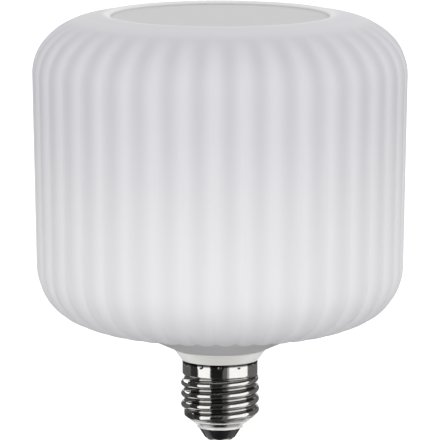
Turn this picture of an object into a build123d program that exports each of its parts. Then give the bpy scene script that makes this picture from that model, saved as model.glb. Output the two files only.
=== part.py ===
"""LED globe lamp: a fluted drum of frosted glass on a collar and an E27 screw cap.

Millimetres, +Z up, with the lamp's axis on Z. The origin is the tip of the centre
contact, which seats at the bottom of the lamp holder.
"""

import os
from math import acos, cos, degrees, floor, radians, sin, sqrt, tan

from build123d import *

# Cap: screw shell, from its open top down to the nose
cap_length = 27.0
thread_diameter = 26.4
thread_depth = 1.1
thread_pitch = 3.629
thread_flank = 62.0
thread_foot = 0.65
thread_gap = 0.3
thread_end_turn = 0.45
thread_phase = -130.0
barrel_diameter = 25.4
barrel_length = 4.2
shell_wall = 0.5
taper_slope = 38.0
nose_diameter = 15.4
nose_length = 0.7
nose_lip = 0.3
crimp_count = 12
crimp_height = 1.2
crimp_depth = 0.35
crimp_drop = 1.0

# Centre contact and the black insulator round it
contact_diameter = 8.6
contact_edge = 0.35
contact_height = 0.9
rivet_diameter = 3.0
rivet_length = 2.4
insulator_length = 3.5
insulator_foot = 9.6
insulator_head = 14.0
insulator_flange = 1.2

# Collar between cap and glass, with a plug that fills the shell
collar_diameter = 31.4
collar_foot = 25.4
collar_height = 4.2
collar_plug = 16.0
socket_diameter = 24.0
socket_depth = 2.4
fit_clearance = 0.1

# Drum, from the neck up
drum_diameter = 125.0
underside_slope = 21.9
underside_radius = 42.0
underside_blend = 14.0
blend_limit = 0.9
corner_radius = 20.0
corner_join = 154.0
wall_height = 64.25
wall_taper = 1.1
shoulder_radius = 17.0
crown_radius = 24.0
crown_join = 45.6
crown_edge = 6.3
rim_land = 4.5
rim_rise = 0.9
rim_radius = 3.0
rim_slope = 11.5
disc_recess = 1.1

# Flutes round the drum. A lean is how far the glass has turned from facing
# straight up: 90 degrees on an upright wall, 180 degrees underneath.
flute_count = 39
flute_depth = 0.75
flute_trace = 0.03
flute_land = 0.6
flute_phase = 5.1
flute_top_lean = 16.0
flute_full_lean = 50.0
flute_ease_lean = 169.0
flute_end_lean = 176.5
shoulder_steps = 6
corner_steps = 6

# Radii and heights of the cap that follow from these
thread_radius = thread_diameter / 2
root_radius = thread_radius - thread_depth
root_bore = root_radius - shell_wall
barrel_radius = barrel_diameter / 2
nose_radius = nose_diameter / 2
nose_bore = nose_radius - shell_wall
nose_bottom = contact_height + insulator_length
nose_top = nose_bottom + nose_length
taper_rise = tan(radians(taper_slope))
taper_top = nose_top + (root_radius - nose_radius) * taper_rise
inner_taper = nose_top + shell_wall / cos(radians(taper_slope)) - shell_wall * taper_rise
barrel_foot = cap_length - barrel_length
barrel_step = barrel_radius - root_radius

# The thread always ends at the same angle, with as many whole turns before it as
# there is room for between the taper and the barrel
thread_start = taper_top + thread_foot
thread_room = barrel_foot - barrel_step - thread_gap - thread_start
thread_turns = floor(thread_room / thread_pitch - thread_end_turn) + thread_end_turn

# Centres of the four arcs that the drum's crest line is made of
collar_top = cap_length + collar_height
wall_lean = 90 + wall_taper
shoulder_r = drum_diameter / 2 - shoulder_radius
wall_top_r = shoulder_r + shoulder_radius * sin(radians(wall_lean))
wall_foot_r = wall_top_r - wall_height * tan(radians(wall_taper))
corner_r = wall_foot_r - corner_radius * sin(radians(wall_lean))
under_r = corner_r - (underside_radius - corner_radius) * sin(radians(corner_join))
crown_r = shoulder_r - (crown_radius - shoulder_radius) * sin(radians(crown_join))
underside_z = collar_top + (under_r - collar_diameter / 2) * tan(radians(underside_slope))
under_z = underside_z + underside_radius
corner_z = under_z + (underside_radius - corner_radius) * cos(radians(corner_join))
wall_foot_z = corner_z + corner_radius * cos(radians(wall_lean))
wall_top_z = wall_foot_z + wall_height
shoulder_z = wall_top_z - shoulder_radius * cos(radians(wall_lean))
crown_z = shoulder_z - (crown_radius - shoulder_radius) * cos(radians(crown_join))


def crest(lean):
    """Radius and height of the crest line where the glass leans by this angle."""
    if lean < crown_join:
        centre_r, centre_z, radius = crown_r, crown_z, crown_radius
    elif lean <= wall_lean:
        centre_r, centre_z, radius = shoulder_r, shoulder_z, shoulder_radius
    elif lean < corner_join:
        centre_r, centre_z, radius = corner_r, corner_z, corner_radius
    else:
        centre_r, centre_z, radius = under_r, under_z, underside_radius
    return centre_r + radius * sin(radians(lean)), centre_z + radius * cos(radians(lean))


def ease(share):
    """Smooth step from 0 to 1."""
    share = min(max(share, 0), 1)
    return share * share * (3 - 2 * share)


def valley_depth(lean):
    """How far a valley lies inside the crests in a level slice."""
    rise = ease((lean - flute_top_lean) / (flute_full_lean - flute_top_lean))
    fall = ease((flute_end_lean - lean) / (flute_end_lean - flute_ease_lean))
    depth = flute_trace + (flute_depth - flute_trace) * rise * fall
    return depth / sin(radians(lean))


def polar(radius, angle):
    return radius * cos(radians(angle)), radius * sin(radians(angle))


def fluted_ring(crest_radius, depth, height):
    """Level slice of the drum: one outward arc for each flute, meeting in valleys."""
    pitch = 360 / flute_count
    valley_radius = crest_radius - depth
    with BuildLine(Plane.XY.offset(height)) as ring:
        for flute in range(flute_count):
            middle = flute_phase + flute * pitch
            ThreePointArc(
                polar(valley_radius, middle - pitch / 2),
                polar(crest_radius, middle),
                polar(valley_radius, middle + pitch / 2),
            )
    return Face(ring.wire())


def fluted_slices(first_lean, last_lean, steps):
    """Slices at even steps of lean, after the first lean and up to the last."""
    slices = []
    for step in range(1, steps + 1):
        lean = first_lean + (last_lean - first_lean) * step / steps
        radius, height = crest(lean)
        slices.append(fluted_ring(radius, valley_depth(lean), height))
    return slices


# Centre contact: a button with a rivet that goes up into the insulator
with BuildPart() as centre_contact:
    with BuildSketch(Plane.XZ):
        with Locations((0, contact_height / 2)):
            Rectangle(contact_diameter / 2, contact_height, align=(Align.MIN, Align.CENTER))
        with Locations((0, contact_height)):
            Rectangle(rivet_diameter / 2, rivet_length, align=(Align.MIN, Align.MIN))
    revolve(axis=Axis.Z)
    chamfer(centre_contact.edges().group_by(Axis.Z)[0], contact_edge)

# Insulator: a cone below the nose, a neck in it and a flange on the taper inside
with BuildPart() as insulator:
    neck = nose_bore - fit_clearance
    neck_top = inner_taper + (neck - nose_bore) * taper_rise
    with BuildSketch(Plane.XZ):
        with BuildLine():
            cone = Line((insulator_foot / 2, contact_height), (insulator_head / 2, nose_bottom))
            Polyline(
                cone @ 1,
                (neck, nose_bottom),
                (neck, neck_top),
                (neck + insulator_flange, neck_top + insulator_flange * taper_rise),
                (0, neck_top + insulator_flange * taper_rise),
                (0, contact_height),
                cone @ 0,
            )
        make_face()
    revolve(axis=Axis.Z)
    with Locations((0, 0, contact_height)):
        Cylinder(
            rivet_diameter / 2,
            rivet_length,
            align=(Align.CENTER, Align.CENTER, Align.MIN),
            mode=Mode.SUBTRACT,
        )

# Rolled thread: a ridge with a blunt crest, wound right-handed up the shell, with
# each end cut to a flat that runs out to nothing
with BuildPart() as thread_ridge:
    with BuildLine():
        helix = Helix(
            thread_pitch,
            thread_turns * thread_pitch,
            root_radius,
            center=(0, 0, thread_start),
        )
    with BuildSketch(Plane(helix @ 0, x_dir=(1, 0, 0), z_dir=helix % 0)):
        with BuildLine():
            bend = thread_pitch / 4 / sin(radians(thread_flank))
            crest_points = []
            for share in (-1, -0.5, 0, 0.5, 1):
                out, across = polar(bend, share * thread_flank)
                crest_points.append((thread_depth - bend + out, across))
            sink = shell_wall / 2
            flank_drop = crest_points[-1][0] + sink
            half_foot = thread_pitch / 4 + flank_drop / tan(radians(thread_flank))
            Polyline(*crest_points, (-sink, half_foot), (-sink, -half_foot), close=True)
        make_face()
    sweep(path=helix, is_frenet=True)
    for end in (0, 1):
        turn = 360 * thread_turns * end
        flat = Plane(helix @ end, x_dir=(*polar(1, turn), 0), z_dir=(0, 0, 1))
        with Locations(flat):
            Box(
                2 * thread_depth,
                thread_diameter,
                thread_pitch,
                align=(Align.MIN, Align.CENTER, Align.CENTER),
                mode=Mode.SUBTRACT,
            )

# Screw shell: sheet metal, open above and at the nose, crimped to the collar
with BuildPart() as screw_shell:
    with BuildSketch(Plane.XZ):
        with BuildLine():
            Polyline(
                (0, nose_bottom),
                (nose_radius, nose_bottom),
                (nose_radius, nose_top),
                (root_radius, taper_top),
                (root_radius, barrel_foot - barrel_step),
                (barrel_radius, barrel_foot),
                (barrel_radius, cap_length),
                (0, cap_length),
                close=True,
            )
        make_face()
    revolve(axis=Axis.Z)
    level_faces = screw_shell.faces().filter_by(Axis.Z)
    offset(amount=-shell_wall, openings=level_faces, kind=Kind.INTERSECTION)
    chamfer(screw_shell.edges().group_by(Axis.Z)[0].sort_by(SortBy.RADIUS)[-1], nose_lip)
    add(thread_ridge.part, rotation=(0, 0, thread_phase))
    with Locations((0, 0, cap_length - crimp_drop)):
        with PolarLocations(barrel_radius, crimp_count):
            punch = crimp_depth * sqrt(2)
            Box(punch, punch, crimp_height, rotation=(0, 0, 45), mode=Mode.SUBTRACT)

# Collar: a cup for the glass neck above, a foot on the shell's edge, a plug in its bore
with BuildPart() as collar:
    with BuildSketch(Plane.XZ):
        with BuildLine():
            Polyline(
                (0, collar_top - socket_depth),
                (socket_diameter / 2, collar_top - socket_depth),
                (socket_diameter / 2, collar_top),
                (collar_diameter / 2, collar_top),
                (collar_foot / 2, cap_length),
                (root_bore - fit_clearance, cap_length),
                (root_bore - fit_clearance, cap_length - collar_plug),
                (0, cap_length - collar_plug),
                close=True,
            )
        make_face()
    revolve(axis=Axis.Z)

# Glass drum: corner, wall and shoulder lofted through fluted slices, closed by a
# turned underside with its neck and by a turned crown with a bead round a sunk disc
wall_foot = fluted_ring(wall_foot_r, flute_depth, wall_foot_z)
wall_top = fluted_ring(wall_top_r, flute_depth, wall_top_z)
corner = fluted_slices(wall_lean, flute_end_lean, corner_steps)
shoulder = fluted_slices(wall_lean, flute_top_lean, shoulder_steps)
end_r, end_z = crest(flute_end_lean)
top_r, top_z = crest(flute_top_lean)

with BuildPart() as glass_drum:
    loft(sections=[wall_foot] + corner)
    loft(sections=[wall_foot, wall_top], ruled=True)
    loft(sections=[wall_top] + shoulder)

    with BuildSketch(Plane.XZ):
        with BuildLine():
            tail = RadiusArc((end_r - flute_land, end_z), (under_r, underside_z), -underside_radius)
            neck = socket_diameter / 2 - fit_clearance
            neck_foot = collar_top - socket_depth + fit_clearance
            Polyline(
                tail @ 1,
                (collar_diameter / 2, collar_top),
                (neck, collar_top),
                (neck, neck_foot),
                (0, neck_foot),
                (0, end_z),
                tail @ 0,
            )
        make_face()
        tail_room = (end_r - flute_land - under_r) / tan(radians(underside_slope / 2))
        neck_blend = min(underside_blend, blend_limit * tail_room)
        fillet(vertices().sort_by_distance(tail @ 1)[0], neck_blend)
    revolve(axis=Axis.Z)

    with BuildSketch(Plane.XZ):
        with BuildLine():
            brow = RadiusArc((top_r - flute_land, top_z), crest(crown_edge), -crown_radius)
            rim_r = (brow @ 1).X - rim_land
            rim_z = (brow @ 1).Y + rim_rise
            bead_z = rim_z - rim_radius
            bead_end = degrees(acos(1 - disc_recess / rim_radius))
            bead = CenterArc((rim_r, bead_z), rim_radius, 90 - rim_slope, rim_slope + bead_end)
            Line(brow @ 1, bead @ 0)
            Polyline(bead @ 1, (0, (bead @ 1).Y), (0, top_z), brow @ 0)
        make_face()
    revolve(axis=Axis.Z)

os.makedirs("parts", exist_ok=True)
for piece, name in (
    (glass_drum, "glass_drum"),
    (collar, "collar"),
    (screw_shell, "screw_shell"),
    (insulator, "insulator"),
    (centre_contact, "centre_contact"),
):
    piece.part.label = name
    export_step(piece.part, f"parts/{name}.step")
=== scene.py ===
"""LED globe lamp, dressed for the camera: a fluted drum of frosted glass, its collar,
the rolled screw shell, the black insulator and the contact, in a plain white studio.

Metres, +Z up, lamp axis on Z, contact tip at the origin, front towards -Y.
"""

from math import acos, atan2, ceil, cos, degrees, dist, hypot, pi, radians, sin, tan

import bpy
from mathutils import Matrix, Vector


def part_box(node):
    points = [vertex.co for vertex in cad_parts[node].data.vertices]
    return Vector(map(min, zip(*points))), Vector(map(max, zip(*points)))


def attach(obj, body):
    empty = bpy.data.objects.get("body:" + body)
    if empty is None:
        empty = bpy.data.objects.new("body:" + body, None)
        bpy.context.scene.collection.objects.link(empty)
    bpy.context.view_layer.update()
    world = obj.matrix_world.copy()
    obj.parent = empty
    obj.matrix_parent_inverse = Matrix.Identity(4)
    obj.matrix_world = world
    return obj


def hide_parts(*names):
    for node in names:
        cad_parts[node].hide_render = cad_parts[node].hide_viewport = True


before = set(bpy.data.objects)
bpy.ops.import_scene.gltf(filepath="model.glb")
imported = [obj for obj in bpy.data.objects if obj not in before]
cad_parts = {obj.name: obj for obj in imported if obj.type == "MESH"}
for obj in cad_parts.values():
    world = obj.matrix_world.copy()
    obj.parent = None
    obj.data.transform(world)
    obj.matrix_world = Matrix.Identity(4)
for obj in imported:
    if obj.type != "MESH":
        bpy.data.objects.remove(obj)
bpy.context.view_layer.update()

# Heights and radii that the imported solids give
shell_low, shell_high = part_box("screw_shell")
collar_low, collar_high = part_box("collar")
insulator_low, insulator_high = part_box("insulator")
contact_low, contact_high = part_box("centre_contact")
drum_low, drum_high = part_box("glass_drum")
nose_bottom = shell_low[2]
collar_bottom, collar_top = collar_low[2], collar_high[2]
collar_radius = collar_high[0]
contact_radius = contact_high[0]
drum_radius = -drum_low[0]

# Drum: the arcs of its crest line, from the neck up
underside_slope = 21.9
underside_radius = 0.042
underside_blend = 0.008
corner_radius = 0.020
corner_join = 154.0
wall_height = 0.06425
wall_taper = 1.1
shoulder_radius = 0.017
crown_radius = 0.024
crown_join = 45.6
crown_edge = 6.3
rim_land = 0.0045
rim_radius = 0.003
rim_slope = 11.5
disc_recess = 0.0011
neck_radius = 0.0119
neck_length = 0.0023

# Flutes: a lean is how far the glass has turned from facing straight up
flute_count = 39
flute_depth = 0.00075
flute_turn = 5.1
flute_top_lean = 16.0
flute_full_lean = 50.0
fold_fade = 0.003
valley_softness = 0.12
flute_columns = 12

# Screw shell; its seam with the collar lies a little higher than on the solids
thread_radius = 0.0132
thread_depth = 0.0011
thread_pitch = 0.003629
thread_flank = 62.0
crest_share = 0.66
thread_turns = 3.547
thread_foot = 0.0003
thread_start = -165.0
thread_runout = 0.14
barrel_radius = 0.0127
seam_lift = 0.0003
barrel_length = 0.0045
shell_wall = 0.0005
shell_round = 0.0008
edge_round = 0.0002
taper_slope = 38.0
nose_radius = 0.0077
nose_length = 0.0007
crimp_count = 12
crimp_depth = 0.0003
crimp_size = 0.0006
crimp_drop = 0.0008
taper_ring = 0.0070
taper_ring_height = 0.00010
taper_ring_width = 0.00025
shell_columns = 240
shell_spacing = 0.0001

# Collar, insulator and contact
collar_foot_radius = 0.0127
plug_radius = 0.0115
socket_radius = 0.012
socket_depth = 0.0024
collar_round = 0.0004
insulator_foot_radius = 0.0051
insulator_head_radius = 0.0073
insulator_neck_radius = 0.0071
insulator_neck_length = 0.00087
insulator_round = 0.0004
rivet_radius = 0.0015
contact_height = 0.0009
contact_round = 0.0004
small_columns = 128

# How finely the outlines are divided: steps are degrees of turn between two points
arc_step = 2.5
small_arc_step = 3.0
underside_step = 1.6
corner_step = 15.0
shell_corner_step = 6.0
edge_corner_step = 20.0
corner_reach = 0.45
neck_parts = 2
cone_parts = 6
wall_parts = 12
rim_parts = 3
disc_parts = 8
same_point = 1e-7
merge_distance = 1e-6
outside_lean = 20.0

# Colours of the glass
# Paler lobes and valleys low down, and valleys paler than lobes, are painted glow
lobe_low = (0.778, 0.776, 0.795, 1)
lobe_high = (0.64, 0.632, 0.668, 1)
valley_low = (0.848, 0.846, 0.865, 1)
valley_high = (0.755, 0.75, 0.782, 1)
cloud_colour = (0.55, 0.55, 0.58, 1)
# The underside and neck colours are painted shade
underside_painted_shade = (0.545, 0.535, 0.575, 1)
neck_painted_shade = (0.505, 0.505, 0.515, 1)
violet_cast = (1.0, 0.99, 1.035)
disc_grey = 0.65
# The bead's foot grey is a painted shadow, its inner and middle greys a painted highlight
bead_foot_painted_shadow = 0.54
bead_inner_painted_highlight = 0.88
bead_painted_highlight = 0.86
bead_outer_grey = 0.75
crown_grey = 0.74

# Where the glass changes colour: heights, radii from the axis, and depths below the rim
painted_glow_low = 0.062
painted_glow_high = 0.122
underside_dark = 0.042
underside_pale = 0.057
neck_dark = 0.040
neck_pale = 0.050
neck_inner = 0.024
neck_outer = 0.036
top_start = 0.0035
top_full = 0.0015
underside_share = 0.32
cloud_share = 0.08

# Colours of collar, shell, insulator and contact
cream_dark = (0.685, 0.678, 0.653, 1)
cream_light = (0.725, 0.718, 0.692, 1)
# The edge cream is a painted sheen where the collar turns away from the view
cream_painted_sheen = (0.95, 0.942, 0.917, 1)
painted_sheen_start = 0.2
painted_sheen_full = 0.65
nickel_dark = (0.72, 0.71, 0.69, 1)
nickel_light = (0.82, 0.81, 0.79, 1)
# The dull metal is painted shade on the thread's flanks
flank_painted_shade = (0.22, 0.215, 0.21, 1)
# The worn metal is a painted highlight: pale and matt on the lip and the taper ring
highlight_paint = (0.88, 0.88, 0.87, 1)
highlight_half = 0.0001
highlight_fade = 0.0004
highlight_metal_loss = -0.85
# The grime is a painted shadow along the seam under the collar
seam_painted_shadow = (0.06, 0.058, 0.055, 1)
seam_shadow_start = 0.0011
seam_shadow_full = 0.0005
rolling_stretch = (60.0, 60.0, 2600.0)
jet_dark = (0.006, 0.006, 0.007, 1)
jet_light = (0.018, 0.018, 0.02, 1)
tin_dark = (0.55, 0.52, 0.45, 1)
tin_light = (0.74, 0.72, 0.68, 1)

# Studio: floor, world light, and the panels that the metal mirrors
white = (1, 1, 1, 1)
floor_z = -0.22
floor_size = 14.0
floor_shade = 0.72
floor_shine = 0.72
horizon_light = 1.25
zenith_light = 0.66
zenith_start = 0.8
panel_step = 3.0
wall_panel_radius = 0.9
wall_panel_top = 0.6
wall_panel_foot = -0.65
table_panel_z = -2.6
# The flag is a painted reflection: a sheet under the drum that stands for its underside in the shell
flag_inner = 0.017
flag_outer = 0.040
flag_z = 0.030
edge_light_aside = 0.77
edge_light_back = 0.64
edge_light_height = 0.45

# Camera that matches the photograph
camera_distance = 1.9241
camera_height = 0.3633
camera_pitch = 8.538
camera_lens = 476.8
sensor_width = 36.0

# Centres of the arcs of the drum, and its rim and disc, that follow from these
wall_lean = 90 + wall_taper
shoulder_r = drum_radius - shoulder_radius
wall_top_r = shoulder_r + shoulder_radius * sin(radians(wall_lean))
wall_foot_r = wall_top_r - wall_height * tan(radians(wall_taper))
corner_r = wall_foot_r - corner_radius * sin(radians(wall_lean))
under_r = corner_r - (underside_radius - corner_radius) * sin(radians(corner_join))
crown_r = shoulder_r - (crown_radius - shoulder_radius) * sin(radians(crown_join))
underside_z = collar_top + (under_r - collar_radius) * tan(radians(underside_slope))
under_z = underside_z + underside_radius
corner_z = under_z + (underside_radius - corner_radius) * cos(radians(corner_join))
wall_foot_z = corner_z + corner_radius * cos(radians(wall_lean))
wall_top_z = wall_foot_z + wall_height
shoulder_z = wall_top_z - shoulder_radius * cos(radians(wall_lean))
crown_z = shoulder_z - (crown_radius - shoulder_radius) * cos(radians(crown_join))
rim_z = drum_high[2]
rim_r = crown_r + crown_radius * sin(radians(crown_edge)) - rim_land
bead_end = degrees(acos(1 - disc_recess / rim_radius))
disc_z = rim_z - disc_recess
disc_radius = rim_r - rim_radius * sin(radians(bead_end))

# Radii and heights of the shell that follow from these
cap_top = shell_high[2] + seam_lift
root_radius = thread_radius - thread_depth
root_bore = root_radius - shell_wall
nose_bore = nose_radius - shell_wall
nose_top = nose_bottom + nose_length
taper_top = nose_top + (root_radius - nose_radius) * tan(radians(taper_slope))
barrel_foot = cap_top - barrel_length
barrel_step = barrel_radius - root_radius


# Outlines: lists of radius and height, with the outside on the right of the way along

def arc(centre, radius, first, last, step):
    """Points on an arc from one lean to another."""
    count = max(2, round(abs(last - first) / step))
    leans = [radians(first + (last - first) * i / count) for i in range(count + 1)]
    return [(centre[0] + radius * sin(a), centre[1] + radius * cos(a)) for a in leans]


def between(start, end, share):
    """Point on a straight run."""
    return tuple(a + (b - a) * share for a, b in zip(start, end))


def run(start, end, parts=1):
    """Points on a straight run, ends included."""
    return [between(start, end, i / parts) for i in range(parts + 1)]


def divided(points, spacing):
    """The same outline with points no further apart than the spacing."""
    closer = [points[0]]
    for start, end in zip(points, points[1:]):
        parts = ceil(dist(start, end) / spacing)
        closer += run(start, end, parts)[1:]
    return closer


def rounded(corners, radius, step=corner_step):
    """An open outline of straight runs with each inner corner rounded."""
    points = [corners[0]]
    for before, corner, after in zip(corners, corners[1:], corners[2:]):
        into = (corner[0] - before[0], corner[1] - before[1])
        out = (after[0] - corner[0], after[1] - corner[1])
        cross = into[0] * out[1] - into[1] * out[0]
        dot = into[0] * out[0] + into[1] * out[1]
        turn = abs(atan2(cross, dot))
        room = corner_reach * min(hypot(*into), hypot(*out))
        reach = min(radius * tan(turn / 2), room)
        first = between(corner, before, reach / hypot(*into))
        last = between(corner, after, reach / hypot(*out))
        count = max(2, round(degrees(turn) / step))
        for i in range(count + 1):
            share = i / count
            inward = between(first, corner, share)
            outward = between(corner, last, share)
            points.append(between(inward, outward, share))
    return points + [corners[-1]]


def joined(*stretches):
    """One outline from stretches that meet, without the doubled points."""
    points = []
    for stretch in stretches:
        for point in stretch:
            if not points or dist(point, points[-1]) > same_point:
                points.append(point)
    return points


def ease(share):
    """Smooth step from 0 to 1."""
    share = min(max(share, 0), 1)
    return share * share * (3 - 2 * share)


def outline_mesh(name, points, relief):
    """Mesh line of an outline that carries the way each point faces and its relief."""
    mesh = bpy.data.meshes.new(name)
    corners = [(r, 0, z) for r, z in points]
    lines = [(i, i + 1) for i in range(len(points) - 1)]
    mesh.from_pydata(corners, lines, [])
    mesh.attributes.new("facing", "FLOAT_VECTOR", "POINT")
    mesh.attributes.new("relief", "FLOAT", "POINT")
    for i, point in enumerate(points):
        before = points[max(i - 1, 0)]
        after = points[min(i + 1, len(points) - 1)]
        length = dist(before, after)
        out = ((after[1] - before[1]) / length, (before[0] - after[0]) / length)
        mesh.attributes["facing"].data[i].vector = (out[0], 0, out[1])
        mesh.attributes["relief"].data[i].value = relief(point, degrees(atan2(out[0], out[1])))
    return mesh


def drum_outline():
    """Crest line of the glass from the foot of its neck to the middle of the top disc."""
    neck_foot = collar_top - neck_length
    # The concave blend round the neck's cone ends level, where the underside's arc starts
    blend_centre = (under_r, underside_z - underside_blend)
    blend = arc(blend_centre, underside_blend, -underside_slope, 0, small_arc_step)
    crown = arc((crown_r, crown_z), crown_radius, crown_join, crown_edge, arc_step)
    bead = arc((rim_r, rim_z - rim_radius), rim_radius, rim_slope, -bead_end, small_arc_step)
    return joined(
        run((0, neck_foot), (neck_radius, neck_foot), neck_parts),
        run((neck_radius, neck_foot), (neck_radius, collar_top), neck_parts),
        run((neck_radius, collar_top), (collar_radius, collar_top), neck_parts),
        run((collar_radius, collar_top), blend[0], cone_parts),
        blend,
        arc((under_r, under_z), underside_radius, 180, corner_join, underside_step),
        arc((corner_r, corner_z), corner_radius, corner_join, wall_lean, arc_step),
        run((wall_foot_r, wall_foot_z), (wall_top_r, wall_top_z), wall_parts),
        arc((shoulder_r, shoulder_z), shoulder_radius, wall_lean, crown_join, arc_step),
        crown,
        run(crown[-1], bead[0], rim_parts),
        bead,
        run(bead[-1], (0, disc_z), disc_parts),
    )


def flute_relief(point, lean):
    """Share of the full flute depth: none on top, all down to the fold, none on the neck's cone."""
    rise = ease((lean - flute_top_lean) / (flute_full_lean - flute_top_lean))
    return rise * ease((point[0] - under_r + fold_fade) / fold_fade)


def shell_outline():
    """Section of the screw shell: up the outside from the rolled lip, then down the bore."""
    lip = ((nose_bore + nose_radius) / 2, nose_bottom)
    edge = (barrel_radius, cap_top - edge_round)
    outside = rounded([
        lip,
        (nose_radius, nose_bottom),
        (nose_radius, nose_top),
        (root_radius, taper_top),
        (root_radius, barrel_foot - barrel_step),
        (barrel_radius, barrel_foot),
        edge,
    ], shell_round, shell_corner_step)
    inside = rounded([
        edge,
        (barrel_radius, cap_top),
        (barrel_radius - shell_wall, cap_top),
        (root_bore, barrel_foot - barrel_step),
        (root_bore, taper_top),
        (nose_bore, nose_top + shell_wall),
        (nose_bore, nose_bottom),
        lip,
    ], edge_round, edge_corner_step)
    return joined(divided(outside, shell_spacing), inside)


def shell_relief(point, lean):
    """1 on the outside of the shell, where the thread and the crimps are rolled in."""
    on_wall = nose_top < point[1] < cap_top - edge_round
    return 1.0 if on_wall and lean > outside_lean else 0.0


def collar_outline():
    """Section of the collar: plug, foot on the shell's edge, flared side and socket."""
    socket_floor = collar_top - socket_depth
    return rounded([
        (0, collar_bottom),
        (plug_radius, collar_bottom),
        (plug_radius, cap_top),
        (collar_foot_radius, cap_top),
        (collar_radius, collar_top),
        (socket_radius, collar_top),
        (socket_radius, socket_floor),
        (0, socket_floor),
    ], collar_round)


def insulator_outline():
    """Section of the black insulator: cone, neck in the nose and the flange inside."""
    foot_z, top_z = insulator_low[2], insulator_high[2]
    neck_top = nose_bottom + insulator_neck_length
    return rounded([
        (0, foot_z),
        (insulator_foot_radius, foot_z),
        (insulator_head_radius, nose_bottom),
        (insulator_neck_radius, nose_bottom),
        (insulator_neck_radius, neck_top),
        (insulator_high[0], top_z),
        (0, top_z),
    ], insulator_round)


def contact_outline():
    """Section of the contact: a domed button with its rivet."""
    return rounded([
        (0, contact_low[2]),
        (contact_radius, contact_low[2] + contact_round / 2),
        (contact_radius, contact_height),
        (rivet_radius, contact_height),
        (rivet_radius, contact_high[2]),
        (0, contact_high[2]),
    ], contact_round)


def no_relief(point, lean):
    """A plain turned face."""
    return 0.0


# Node trees

class Sheet:
    """A node tree with short calls for adding nodes and joining sockets."""

    def __init__(self, tree):
        self.tree = tree

    def put(self, socket, value):
        """Link a socket to another one, or set its constant."""
        if isinstance(value, bpy.types.NodeSocket):
            self.tree.links.new(value, socket)
        else:
            socket.default_value = value

    def node(self, kind, inputs=None, **settings):
        """Add a node; its inputs go by name or by number."""
        node = self.tree.nodes.new(kind)
        for name, value in settings.items():
            setattr(node, name, value)
        for key, value in (inputs or {}).items():
            named = [socket for socket in node.inputs if socket.name == key and socket.enabled]
            self.put(node.inputs[key] if isinstance(key, int) else named[0], value)
        return node

    def math(self, operation, *values):
        """Result of a Math node."""
        return self.node("ShaderNodeMath", dict(enumerate(values)), operation=operation).outputs[0]

    def square(self, value):
        """A value times itself."""
        return self.math("MULTIPLY", value, value)

    def measured(self, value, start, unit):
        """How many units a value lies past a start."""
        return self.math("DIVIDE", self.math("SUBTRACT", value, start), unit)

    def hump(self, square):
        """Bell that falls from 1 with the square of a distance."""
        return self.math("EXPONENT", self.math("MULTIPLY", square, -1.0))

    def rest(self, share):
        """What is left of 1."""
        return self.math("SUBTRACT", 1.0, share)

    def eased(self, value, low, high):
        """Smooth step of a value between two bounds."""
        inputs = {"Value": value, "From Min": low, "From Max": high}
        return self.node("ShaderNodeMapRange", inputs, interpolation_type="SMOOTHSTEP").outputs[0]

    def parts(self, vector):
        """X, Y and Z of a vector."""
        return self.node("ShaderNodeSeparateXYZ", {0: vector}).outputs


# Turned pieces: a relief gives how far the face stands out and a tone from 0 to 1

def flutes(sheet, size, angle, height):
    """Outward arcs side by side with a soft valley between each two, tone 1 in a valley."""
    turn = sheet.measured(angle, size["Flute Turn"], 2 * pi)
    share = sheet.math("MULTIPLY", turn, size["Flute Count"])
    from_crest = sheet.math("PINGPONG", share, 0.5)
    from_valley = sheet.math("MULTIPLY_ADD", from_crest, -2.0, 1.0)
    soft = size["Valley Softness"]

    def softened(value):
        """A distance from the valley with its sharp point rounded off."""
        root = sheet.math("SQRT", sheet.math("MULTIPLY_ADD", value, value, sheet.square(soft)))
        return sheet.math("SUBTRACT", root, soft)

    gap = sheet.rest(sheet.math("DIVIDE", softened(from_valley), softened(1.0)))
    depth = sheet.math("MULTIPLY", sheet.square(gap), size["Flute Depth"])
    return sheet.math("MULTIPLY", depth, -1.0), sheet.eased(from_crest, 0.0, 0.5)


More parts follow.
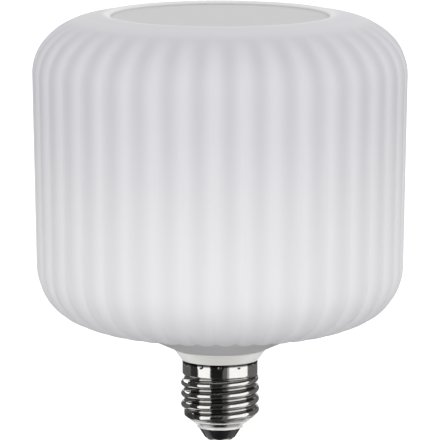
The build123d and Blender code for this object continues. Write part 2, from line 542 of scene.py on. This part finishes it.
def thread_and_crimps(sheet, size, angle, height):
    """Round-crested right-hand thread that runs out at both ends, crimps and a ring on the taper."""
    pitch = size["Thread Pitch"]
    turn = sheet.math("FLOORED_MODULO", sheet.measured(angle, size["Thread Start"], 2 * pi), 1.0)
    lift = sheet.math("SUBTRACT", sheet.measured(height, size["Thread Foot"], pitch), turn)
    lap = sheet.math("ROUND", lift)
    along = sheet.math("ADD", lap, turn)
    across = sheet.math("ABSOLUTE", sheet.math("SUBTRACT", lift, lap))
    both_bends = sheet.math("DIVIDE", pitch, 2 * sin(radians(thread_flank)))
    drop = sheet.math("MULTIPLY", both_bends, 1 - cos(radians(thread_flank)))

    def bulge(away, share):
        """Part of the drop that an arc with this share of the pitch makes away from its middle."""
        bend = sheet.math("MULTIPLY", both_bends, share)
        aside = sheet.math("MULTIPLY", sheet.math("MINIMUM", away, share / 2), pitch)
        chord = sheet.math("SUBTRACT", sheet.square(bend), sheet.square(aside))
        return sheet.math("DIVIDE", sheet.math("SUBTRACT", bend, sheet.math("SQRT", chord)), drop)

    crest = sheet.rest(bulge(across, crest_share))
    root = bulge(sheet.math("SUBTRACT", 0.5, across), 1 - crest_share)
    on_root = sheet.math("GREATER_THAN", across, crest_share / 2)
    wave = sheet.node("ShaderNodeMix", {"Factor": on_root, "A": crest, "B": root}).outputs[0]
    run_in = sheet.eased(along, 0.0, size["Thread Runout"])
    left = sheet.math("SUBTRACT", size["Thread Turns"], along)
    run_out = sheet.eased(left, 0.0, size["Thread Runout"])
    ridge = sheet.math("MULTIPLY", wave, sheet.math("MULTIPLY", run_in, run_out))
    thread = sheet.math("MULTIPLY", ridge, size["Thread Depth"])

    share = sheet.math("MULTIPLY", sheet.math("DIVIDE", angle, 2 * pi), size["Crimp Count"])
    spacing = sheet.math("DIVIDE", 2 * pi * barrel_radius, size["Crimp Count"])
    beside = sheet.math("MULTIPLY", sheet.math("PINGPONG", share, 0.5), spacing)
    beside = sheet.math("DIVIDE", beside, size["Crimp Size"])
    above = sheet.measured(height, size["Crimp Height"], size["Crimp Size"])
    dent = sheet.hump(sheet.math("ADD", sheet.square(beside), sheet.square(above)))
    rolled = sheet.math("SUBTRACT", thread, sheet.math("MULTIPLY", dent, size["Crimp Depth"]))

    off = sheet.measured(height, size["Ring Place"], size["Ring Width"])
    ring = sheet.hump(sheet.square(off))
    return sheet.math("MULTIPLY_ADD", ring, size["Ring Height"], rolled), ridge


def turning_tree(name, sizes, relief):
    """Tree that wraps an outline round the lamp's axis and adds a relief to its face."""
    tree = bpy.data.node_groups.new(name, "GeometryNodeTree")
    face = tree.interface
    face.new_socket("Outline", in_out="INPUT", socket_type="NodeSocketGeometry")
    face.new_socket("Finish", in_out="INPUT", socket_type="NodeSocketMaterial")
    for label, value in sizes.items():
        kind = "NodeSocketInt" if isinstance(value, int) else "NodeSocketFloat"
        face.new_socket(label, in_out="INPUT", socket_type=kind)
    face.new_socket("Piece", in_out="OUTPUT", socket_type="NodeSocketGeometry")

    sheet = Sheet(tree)
    size = sheet.node("NodeGroupInput").outputs
    outline = size["Outline"]
    counted = sheet.node("GeometryNodeAttributeDomainSize", {0: outline}, component="MESH")
    rows = counted.outputs["Point Count"]
    columns = sheet.math("ADD", size["Columns"], 1)
    grid = sheet.node("GeometryNodeMeshGrid", {
        "Size X": 1.0, "Size Y": 1.0, "Vertices X": columns, "Vertices Y": rows,
    }).outputs["Mesh"]

    position = sheet.node("GeometryNodeInputPosition").outputs[0]
    spot = sheet.parts(position)
    angle = sheet.math("MULTIPLY", sheet.math("ADD", spot["X"], 0.5), 2 * pi)
    last_row = sheet.math("SUBTRACT", rows, 1)
    row = sheet.math("ROUND", sheet.math("MULTIPLY", sheet.math("ADD", spot["Y"], 0.5), last_row))

    def sampled(value, data_type):
        """Value at the point of the outline that this row comes from."""
        return sheet.node("GeometryNodeSampleIndex", {
            "Geometry": outline, "Value": value, "Index": row,
        }, data_type=data_type, domain="POINT").outputs[0]

    def carried(label, data_type):
        """Attribute that the outline carries at that point."""
        named = sheet.node("GeometryNodeInputNamedAttribute", {"Name": label}, data_type=data_type)
        return sampled(named.outputs[0], data_type)

    place = sampled(position, "FLOAT_VECTOR")
    if relief:
        stand, tone = relief(sheet, size, angle, sheet.parts(place)["Z"])
        share = carried("relief", "FLOAT")
        push = sheet.node("ShaderNodeVectorMath", {
            0: carried("facing", "FLOAT_VECTOR"), "Scale": sheet.math("MULTIPLY", stand, share),
        }, operation="SCALE").outputs[0]
        place = sheet.node("ShaderNodeVectorMath", {0: place, 1: push}, operation="ADD").outputs[0]
        tone = sheet.math("MULTIPLY_ADD", sheet.math("SUBTRACT", tone, 0.5), share, 0.5)
        grid = sheet.node("GeometryNodeStoreNamedAttribute", {
            "Geometry": grid, "Name": "tone", "Value": tone,
        }, data_type="FLOAT", domain="POINT").outputs[0]
    turned = sheet.node("ShaderNodeVectorRotate", {
        "Vector": place, "Angle": angle, "Axis": (0.0, 0.0, 1.0),
    }, rotation_type="AXIS_ANGLE").outputs[0]

    wrapped = sheet.node("GeometryNodeSetPosition", {"Geometry": grid, "Position": turned}).outputs[0]
    closed = sheet.node("GeometryNodeMergeByDistance", {
        "Geometry": wrapped, "Distance": merge_distance,
    }).outputs[0]
    smooth = sheet.node("GeometryNodeSetShadeSmooth", {
        "Geometry": closed, "Shade Smooth": True,
    }).outputs[0]
    painted = sheet.node("GeometryNodeSetMaterial", {
        "Geometry": smooth, "Material": size["Finish"],
    }).outputs[0]
    sheet.node("NodeGroupOutput", {0: painted})
    return tree


def turned_piece(name, outline, finish, node, sizes, relief=None, amount=no_relief):
    """Make one turned piece as a plain mesh that stands for its solid."""
    tree = turning_tree(name + " turning", sizes, relief)
    piece = bpy.data.objects.new(name, outline_mesh(name + "_outline", outline, amount))
    bpy.context.scene.collection.objects.link(piece)
    turning = piece.modifiers.new("turning", "NODES")
    turning.node_group = tree
    values = {"Finish": finish, **sizes}
    for item in tree.interface.items_tree:
        if item.in_out == "INPUT" and item.name in values:
            turning[item.identifier] = values[item.name]
    graph = bpy.context.evaluated_depsgraph_get()
    mesh = bpy.data.meshes.new_from_object(piece.evaluated_get(graph), depsgraph=graph)
    piece.modifiers.remove(turning)
    piece.data = mesh
    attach(piece, "root")
    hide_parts(node)
    return piece


# Finishes

def finish_sheet(name):
    """A new material with its shader, output and Object coordinates."""
    material = bpy.data.materials.new(name)
    material.use_nodes = True
    material.node_tree.nodes.clear()
    sheet = Sheet(material.node_tree)
    shader = sheet.node("ShaderNodeBsdfPrincipled")
    sheet.node("ShaderNodeOutputMaterial", {"Surface": shader.outputs[0]})
    coords = sheet.node("ShaderNodeTexCoord").outputs["Object"]
    return material, sheet, shader, coords


def tint(sheet, factor, first, second):
    """Colour that goes from the first to the second with a factor."""
    node = sheet.node("ShaderNodeMix", {0: factor}, data_type="RGBA")
    colours = [socket for socket in node.inputs if socket.type == "RGBA"]
    sheet.put(colours[0], first)
    sheet.put(colours[1], second)
    return next(socket for socket in node.outputs if socket.type == "RGBA")


def bands(sheet, value, stops):
    """Grey that follows a value through the stops."""
    low, high = stops[0][0], stops[-1][0]
    inputs = {"Value": value, "From Min": low, "From Max": high}
    share = sheet.node("ShaderNodeMapRange", inputs).outputs[0]
    node = sheet.node("ShaderNodeValToRGB", {0: share})
    marks = node.color_ramp.elements
    for stop in stops[1:-1]:
        marks.new((stop[0] - low) / (high - low))
    for mark, stop in zip(marks, stops):
        mark.color = (stop[1], stop[1], stop[1], 1)
    return node.outputs["Color"]


def lavender(sheet, grey):
    """A grey with the glass's faint violet cast."""
    return sheet.node("ShaderNodeVectorMath", {0: grey, 1: violet_cast}, operation="MULTIPLY").outputs[0]


def noise(sheet, coords, scale, detail=3.0, roughness=0.5):
    """Value of a noise, about 0.3 to 0.7."""
    inputs = {"Vector": coords, "Scale": scale, "Detail": detail, "Roughness": roughness}
    return sheet.node("ShaderNodeTexNoise", inputs).outputs[0]


def bump(sheet, height, strength, distance):
    """Normal of a fine surface."""
    inputs = {"Height": height, "Strength": strength, "Distance": distance}
    return sheet.node("ShaderNodeBump", inputs).outputs[0]


def varied(sheet, value, base, amount):
    """A base that a value raises by up to an amount."""
    return sheet.math("MULTIPLY_ADD", value, amount, base)


def tone_of(sheet):
    """Tone that the piece's relief left on its mesh."""
    return sheet.node("ShaderNodeAttribute", attribute_name="tone").outputs["Fac"]


def frosted_glass():
    """Etched opal glass, grey on top: painted glow pales valleys and lower wall, painted shade darkens
    underside and neck.
    """
    material, sheet, shader, coords = finish_sheet("frosted glass")
    spot = sheet.parts(coords)
    level = sheet.node("ShaderNodeCombineXYZ", {"X": spot["X"], "Y": spot["Y"]}).outputs[0]
    reach = sheet.node("ShaderNodeVectorMath", {0: level}, operation="LENGTH").outputs["Value"]

    # Painted glow: paler low down, and paler in the valleys than on the lobes
    up = sheet.eased(spot["Z"], painted_glow_low, painted_glow_high)
    lobe = tint(sheet, up, lobe_low, lobe_high)
    valley = tint(sheet, up, valley_low, valley_high)
    opal = tint(sheet, tone_of(sheet), lobe, valley)
    cloud = noise(sheet, coords, scale=38.0, detail=2.0)
    opal = tint(sheet, sheet.math("MULTIPLY", cloud, cloud_share), opal, cloud_colour)

    # Painted shade: darker on the underside and round the neck
    below = sheet.rest(sheet.eased(spot["Z"], underside_dark, underside_pale))
    opal = tint(sheet, sheet.math("MULTIPLY", below, underside_share), opal, underside_painted_shade)
    low_down = sheet.rest(sheet.eased(spot["Z"], neck_dark, neck_pale))
    near_neck = sheet.rest(sheet.eased(reach, neck_inner, neck_outer))
    opal = tint(sheet, sheet.math("MULTIPLY", low_down, near_neck), opal, neck_painted_shade)

    # Greys of the top from its middle outwards: disc, painted shadow at the bead's foot, painted
    # highlight on the bead, crown
    top = bands(sheet, reach, [
        (0.0, disc_grey),
        (disc_radius - 0.0010, disc_grey),
        (disc_radius - 0.0001, bead_foot_painted_shadow),
        (disc_radius + 0.0006, bead_inner_painted_highlight),
        (rim_r - 0.0004, bead_painted_highlight),
        (rim_r + 0.0012, bead_outer_grey),
        (rim_r + 0.0040, crown_grey),
        (rim_r + 0.0080, crown_grey),
    ])
    outside = sheet.eased(reach, rim_r - 0.0010, rim_r + 0.0010)
    top = tint(sheet, outside, top, lavender(sheet, top))
    on_top = sheet.eased(spot["Z"], rim_z - top_start, rim_z - top_full)
    sheet.put(shader.inputs["Base Color"], tint(sheet, on_top, opal, top))
    grain = noise(sheet, coords, scale=2600.0, detail=2.0, roughness=0.6)
    sheet.put(shader.inputs["Roughness"], varied(sheet, grain, base=0.48, amount=0.12))
    sheet.put(shader.inputs["Normal"], bump(sheet, grain, strength=0.06, distance=0.0002))
    shader.inputs["Subsurface Weight"].default_value = 0.25
    shader.inputs["Subsurface Radius"].default_value = (1.0, 0.95, 1.0)
    shader.inputs["Subsurface Scale"].default_value = 0.004
    shader.inputs["IOR"].default_value = 1.46
    shader.inputs["Specular IOR Level"].default_value = 0.25
    return material


def collar_plastic():
    """Warm off-white moulded plastic with a fine satin grain, and a painted sheen that pales it where it
    turns away.
    """
    material, sheet, shader, coords = finish_sheet("collar plastic")
    cloud = noise(sheet, coords, scale=160.0)
    cream = tint(sheet, cloud, cream_dark, cream_light)
    # Painted sheen: paler where the surface turns away from the view
    facing = sheet.node("ShaderNodeLayerWeight", {"Blend": 0.5}).outputs["Facing"]
    away = sheet.eased(facing, painted_sheen_start, painted_sheen_full)
    sheet.put(shader.inputs["Base Color"], tint(sheet, away, cream, cream_painted_sheen))
    grain = noise(sheet, coords, scale=3200.0, detail=2.0)
    sheet.put(shader.inputs["Roughness"], varied(sheet, grain, base=0.36, amount=0.1))
    sheet.put(shader.inputs["Normal"], bump(sheet, grain, strength=0.05, distance=0.0001))
    shader.inputs["Subsurface Weight"].default_value = 0.1
    shader.inputs["Subsurface Radius"].default_value = (1.0, 0.9, 0.8)
    shader.inputs["Subsurface Scale"].default_value = 0.002
    return material


def plated_shell():
    """Bright nickel with rolling lines and handling marks; painted shade on the thread's flanks and
    seam, painted highlight on lip and ring.
    """
    material, sheet, shader, coords = finish_sheet("plated shell")
    stretch = {"Vector": coords, "Scale": rolling_stretch}
    lines = noise(sheet, sheet.node("ShaderNodeMapping", stretch).outputs[0], scale=1.0)
    marks = noise(sheet, coords, scale=420.0, detail=4.0, roughness=0.6)
    nickel = tint(sheet, marks, nickel_dark, nickel_light)

    # Painted shade on the thread, by its tone from the roots, at 0, to the crests: flanks darkest,
    # crests clear
    height = sheet.parts(coords)["Z"]
    threaded = sheet.math("LESS_THAN", height, barrel_foot - barrel_step)
    flank_shade = bands(sheet, tone_of(sheet), [
        (0.0, 0.3), (0.03, 0.4), (0.14, 0.9), (0.58, 0.9), (0.80, 0.1), (1.0, 0.0),
    ])
    metal = tint(sheet, sheet.math("MULTIPLY", flank_shade, threaded), nickel, flank_painted_shade)
    # Painted shadow along the seam under the collar
    seam_shadow = sheet.eased(height, cap_top - seam_shadow_start, cap_top - seam_shadow_full)
    metal = tint(sheet, seam_shadow, metal, seam_painted_shadow)
    # Painted highlight: the rolled lip and the ring on the taper turn pale and matt
    highlight_mask = bands(sheet, height, [
        (nose_bottom, 1.0),
        (nose_top, 1.0),
        (nose_top + highlight_fade, 0.0),
        (taper_ring - highlight_fade, 0.0),
        (taper_ring - highlight_half, 1.0),
        (taper_ring + highlight_half, 1.0),
        (taper_ring + highlight_fade, 0.0),
        (taper_top, 0.0),
    ])
    sheet.put(shader.inputs["Base Color"], tint(sheet, highlight_mask, metal, highlight_paint))
    sheet.put(shader.inputs["Metallic"], varied(sheet, highlight_mask, base=1.0, amount=highlight_metal_loss))

    # The rolling lines run round the shell, so they smear what it mirrors up and down
    rough = varied(sheet, lines, base=0.08, amount=0.05)
    sheet.put(shader.inputs["Roughness"], varied(sheet, marks, base=rough, amount=0.05))
    round_axis = sheet.node("ShaderNodeTangent", direction_type="RADIAL", axis="Z").outputs[0]
    sheet.put(shader.inputs["Tangent"], round_axis)
    shader.inputs["Anisotropic"].default_value = 0.8
    shader.inputs["Anisotropic Rotation"].default_value = 0.25
    sheet.put(shader.inputs["Normal"], bump(sheet, lines, strength=0.04, distance=0.00005))
    return material


def black_insulator():
    """Glossy black glass with a slightly uneven, fire-polished face."""
    material, sheet, shader, coords = finish_sheet("black insulator")
    flow = noise(sheet, coords, scale=260.0, detail=2.0)
    sheet.put(shader.inputs["Base Color"], tint(sheet, flow, jet_dark, jet_light))
    sheet.put(shader.inputs["Roughness"], varied(sheet, flow, base=0.1, amount=0.12))
    sheet.put(shader.inputs["Normal"], bump(sheet, flow, strength=0.1, distance=0.0003))
    return material


def contact_metal():
    """Tinned brass button with a dull, uneven solder skin."""
    material, sheet, shader, coords = finish_sheet("contact metal")
    skin = noise(sheet, coords, scale=700.0, detail=4.0, roughness=0.6)
    sheet.put(shader.inputs["Base Color"], tint(sheet, skin, tin_dark, tin_light))
    sheet.put(shader.inputs["Roughness"], varied(sheet, skin, base=0.22, amount=0.25))
    sheet.put(shader.inputs["Normal"], bump(sheet, skin, strength=0.15, distance=0.0002))
    shader.inputs["Metallic"].default_value = 1.0
    return material


# Lamp

turned_piece(
    "fluted_drum", drum_outline(), frosted_glass(), "glass_drum",
    {
        "Columns": flute_count * flute_columns,
        "Flute Count": flute_count,
        "Flute Depth": flute_depth,
        "Flute Turn": radians(flute_turn),
        "Valley Softness": valley_softness,
    },
    flutes, flute_relief,
)
turned_piece(
    "rolled_shell", shell_outline(), plated_shell(), "screw_shell",
    {
        "Columns": shell_columns,
        "Thread Pitch": thread_pitch,
        "Thread Depth": thread_depth,
        "Thread Turns": thread_turns,
        "Thread Start": radians(thread_start),
        "Thread Foot": taper_top + thread_foot,
        "Thread Runout": thread_runout,
        "Crimp Count": crimp_count,
        "Crimp Depth": crimp_depth,
        "Crimp Size": crimp_size,
        "Crimp Height": cap_top - crimp_drop,
        "Ring Place": taper_ring,
        "Ring Height": taper_ring_height,
        "Ring Width": taper_ring_width,
    },
    thread_and_crimps, shell_relief,
)
small = {"Columns": small_columns}
turned_piece(
    "flared_collar", collar_outline(), collar_plastic(), "collar", small,
)
turned_piece(
    "nose_insulator", insulator_outline(), black_insulator(), "insulator", small,
)
turned_piece(
    "contact_button", contact_outline(), contact_metal(), "centre_contact", small,
)


# Studio

def ray_is_seen(sheet):
    """1 for rays that show the background: camera, mirror and see-through ones."""
    path = sheet.node("ShaderNodeLightPath").outputs
    seen = sheet.math("MAXIMUM", path["Is Camera Ray"], path["Is Glossy Ray"])
    return sheet.math("MAXIMUM", seen, path["Is Transmission Ray"])


def white_world(horizon, zenith):
    """White to look at, and a soft light on the lamp that is stronger from the sides."""
    world = bpy.data.worlds.new("studio")
    world.use_nodes = True
    world.node_tree.nodes.clear()
    sheet = Sheet(world.node_tree)
    way = sheet.parts(sheet.node("ShaderNodeTexCoord").outputs["Generated"])["Z"]
    upward = sheet.eased(way, 0.0, zenith_start)
    level = sheet.math("MULTIPLY_ADD", upward, zenith - horizon, horizon)
    seen = ray_is_seen(sheet)
    strength = sheet.math("MULTIPLY_ADD", level, sheet.rest(seen), seen)
    light = sheet.node("ShaderNodeBackground", {"Color": white, "Strength": strength})
    sheet.node("ShaderNodeOutputWorld", {"Surface": light.outputs[0]})
    bpy.context.scene.world = world


def stage_material(name):
    """A material for the studio, without its shader."""
    material = bpy.data.materials.new(name)
    material.use_nodes = True
    material.node_tree.nodes.clear()
    return material, Sheet(material.node_tree)


def white_floor(height, size, shade, shine):
    """Pale floor well below the lamp that still takes its shadow, clear from below."""
    half = size / 2
    square = ((-half, -half), (half, -half), (half, half), (-half, half))
    corners = [(x, y, height) for x, y in square]
    mesh = bpy.data.meshes.new("studio_floor")
    mesh.from_pydata(corners, [], [(0, 1, 2, 3)])
    floor = bpy.data.objects.new("studio_floor", mesh)
    bpy.context.scene.collection.objects.link(floor)
    material, sheet = stage_material("pale floor")
    paper = sheet.node("ShaderNodeBsdfDiffuse", {"Color": (shade, shade, shade, 1)}).outputs[0]
    strength = sheet.math("MULTIPLY", ray_is_seen(sheet), shine)
    light = sheet.node("ShaderNodeEmission", {"Color": white, "Strength": strength}).outputs[0]
    both = sheet.node("ShaderNodeAddShader", {0: paper, 1: light}).outputs[0]
    clear = sheet.node("ShaderNodeBsdfTransparent").outputs[0]
    below = sheet.node("ShaderNodeNewGeometry").outputs["Backfacing"]
    one_sided = sheet.node("ShaderNodeMixShader", {0: below, 1: both, 2: clear}).outputs[0]
    sheet.node("ShaderNodeOutputMaterial", {"Surface": one_sided})
    mesh.materials.append(material)
    floor.visible_glossy = False


def seen_in_metal(name, mesh):
    """Put a mesh on the stage that only mirrors see."""
    thing = bpy.data.objects.new(name, mesh)
    bpy.context.scene.collection.objects.link(thing)
    thing.visible_camera = False
    thing.visible_diffuse = False
    thing.visible_transmission = False
    thing.visible_volume_scatter = False
    thing.visible_shadow = False


def glow(name, level):
    """Even light for something that mirrors see."""
    material, sheet = stage_material(name)
    light = sheet.node("ShaderNodeEmission", {"Color": white, "Strength": level}).outputs[0]
    sheet.node("ShaderNodeOutputMaterial", {"Surface": light})
    return material


def reflector(name, ring_a, ring_b, panels):
    """Panels between two level rings, each given as radius and height, that only mirrors see."""
    points = []
    faces = []
    face_levels = []
    for first, last, level in panels:
        steps = max(1, round((last - first) / panel_step))
        base = len(points)
        for i in range(steps + 1):
            angle = radians(first + (last - first) * i / steps)
            for radius, height in (ring_a, ring_b):
                points.append((radius * sin(angle), -radius * cos(angle), height))
        for i in range(steps):
            corner = base + 2 * i
            faces.append((corner, corner + 1, corner + 3, corner + 2))
            face_levels.append(level)
    levels = sorted(set(face_levels))
    mesh = bpy.data.meshes.new(name)
    mesh.from_pydata(points, [], faces)
    for level in levels:
        mesh.materials.append(glow(f"{name} {level}", level))
    for face, level in zip(mesh.polygons, face_levels):
        face.material_index = levels.index(level)
    seen_in_metal(name, mesh)


def softbox(name, place, aim, size, watts):
    """Square area lamp that faces a point and doesn't show in the metal."""
    data = bpy.data.lights.new(name, "AREA")
    data.shape = "SQUARE"
    data.size = size
    data.energy = watts
    lamp = bpy.data.objects.new(name, data)
    lamp.location = place
    way = [to - start for to, start in zip(aim, place)]
    tilt = atan2(hypot(way[0], way[1]), -way[2])
    heading = atan2(way[1], way[0]) - pi / 2
    lamp.rotation_euler = (tilt, 0, heading)
    lamp.visible_glossy = False
    bpy.context.scene.collection.objects.link(lamp)


def photo_camera():
    """Long lens in front of the lamp, a little above it."""
    data = bpy.data.cameras.new("photo camera")
    data.lens = camera_lens
    data.sensor_width = sensor_width
    data.dof.use_dof = False
    camera = bpy.data.objects.new("photo camera", data)
    camera.location = (0, -camera_distance, camera_height)
    camera.rotation_euler = (radians(90 - camera_pitch), 0, 0)
    bpy.context.scene.collection.objects.link(camera)
    bpy.context.scene.camera = camera


drum_middle = (0, 0, (underside_z + rim_z) / 2)
wall_top_ring = (wall_panel_radius, wall_panel_top)
wall_foot_ring = (wall_panel_radius, wall_panel_foot)
table_edge_ring = (wall_panel_radius, table_panel_z)
table_middle = (0.0, table_panel_z)
white_world(horizon_light, zenith_light)
white_floor(floor_z, floor_size, floor_shade, floor_shine)

# Each panel goes from one angle to another, counted from the front to the right, with a brightness
reflector("reflector_walls", wall_foot_ring, wall_top_ring, [
    (-180, -160, 0.9),
    (-160, -100, 0.12),
    (-100, -70, 0.03),
    (-70, -30, 1.22),
    (-30, 8, 0.01),
    (8, 22, 0.12),
    (22, 28, 0.45),
    (28, 92, 1.22),
    (92, 160, 0.15),
    (160, 180, 0.9),
])
reflector("reflector_table_edge", table_edge_ring, wall_foot_ring, [
    (-180, -160, 0.02),
    (-160, -100, 0.9),
    (-100, -70, 0.1),
    (-70, -30, 0.15),
    (-30, 8, 0.04),
    (8, 28, 0.1),
    (28, 92, 0.15),
    (92, 162, 0.6),
    (162, 180, 0.02),
])
reflector("reflector_table", table_middle, table_edge_ring, [(-180, 180, 0.02)])
# Painted reflection: a sheet under the drum standing for its underside in the shell, dark in front,
# bright behind
reflector("flag_under_drum", (flag_inner, flag_z), (flag_outer, flag_z), [
    (-180, -100, 2.5),
    (-100, 120, 0.04),
    (120, 180, 0.6),
])

right_edge = (edge_light_aside, edge_light_back, edge_light_height)
left_edge = (-edge_light_aside, edge_light_back, edge_light_height)
softbox("front softbox", (-0.02, -0.7, 0.0), aim=drum_middle, size=0.4, watts=0.9)
softbox("right edge softbox", right_edge, aim=drum_middle, size=0.5, watts=1.9)
softbox("left edge softbox", left_edge, aim=drum_middle, size=0.5, watts=0.8)
photo_camera()
bpy.context.scene.view_settings.view_transform = "Standard"
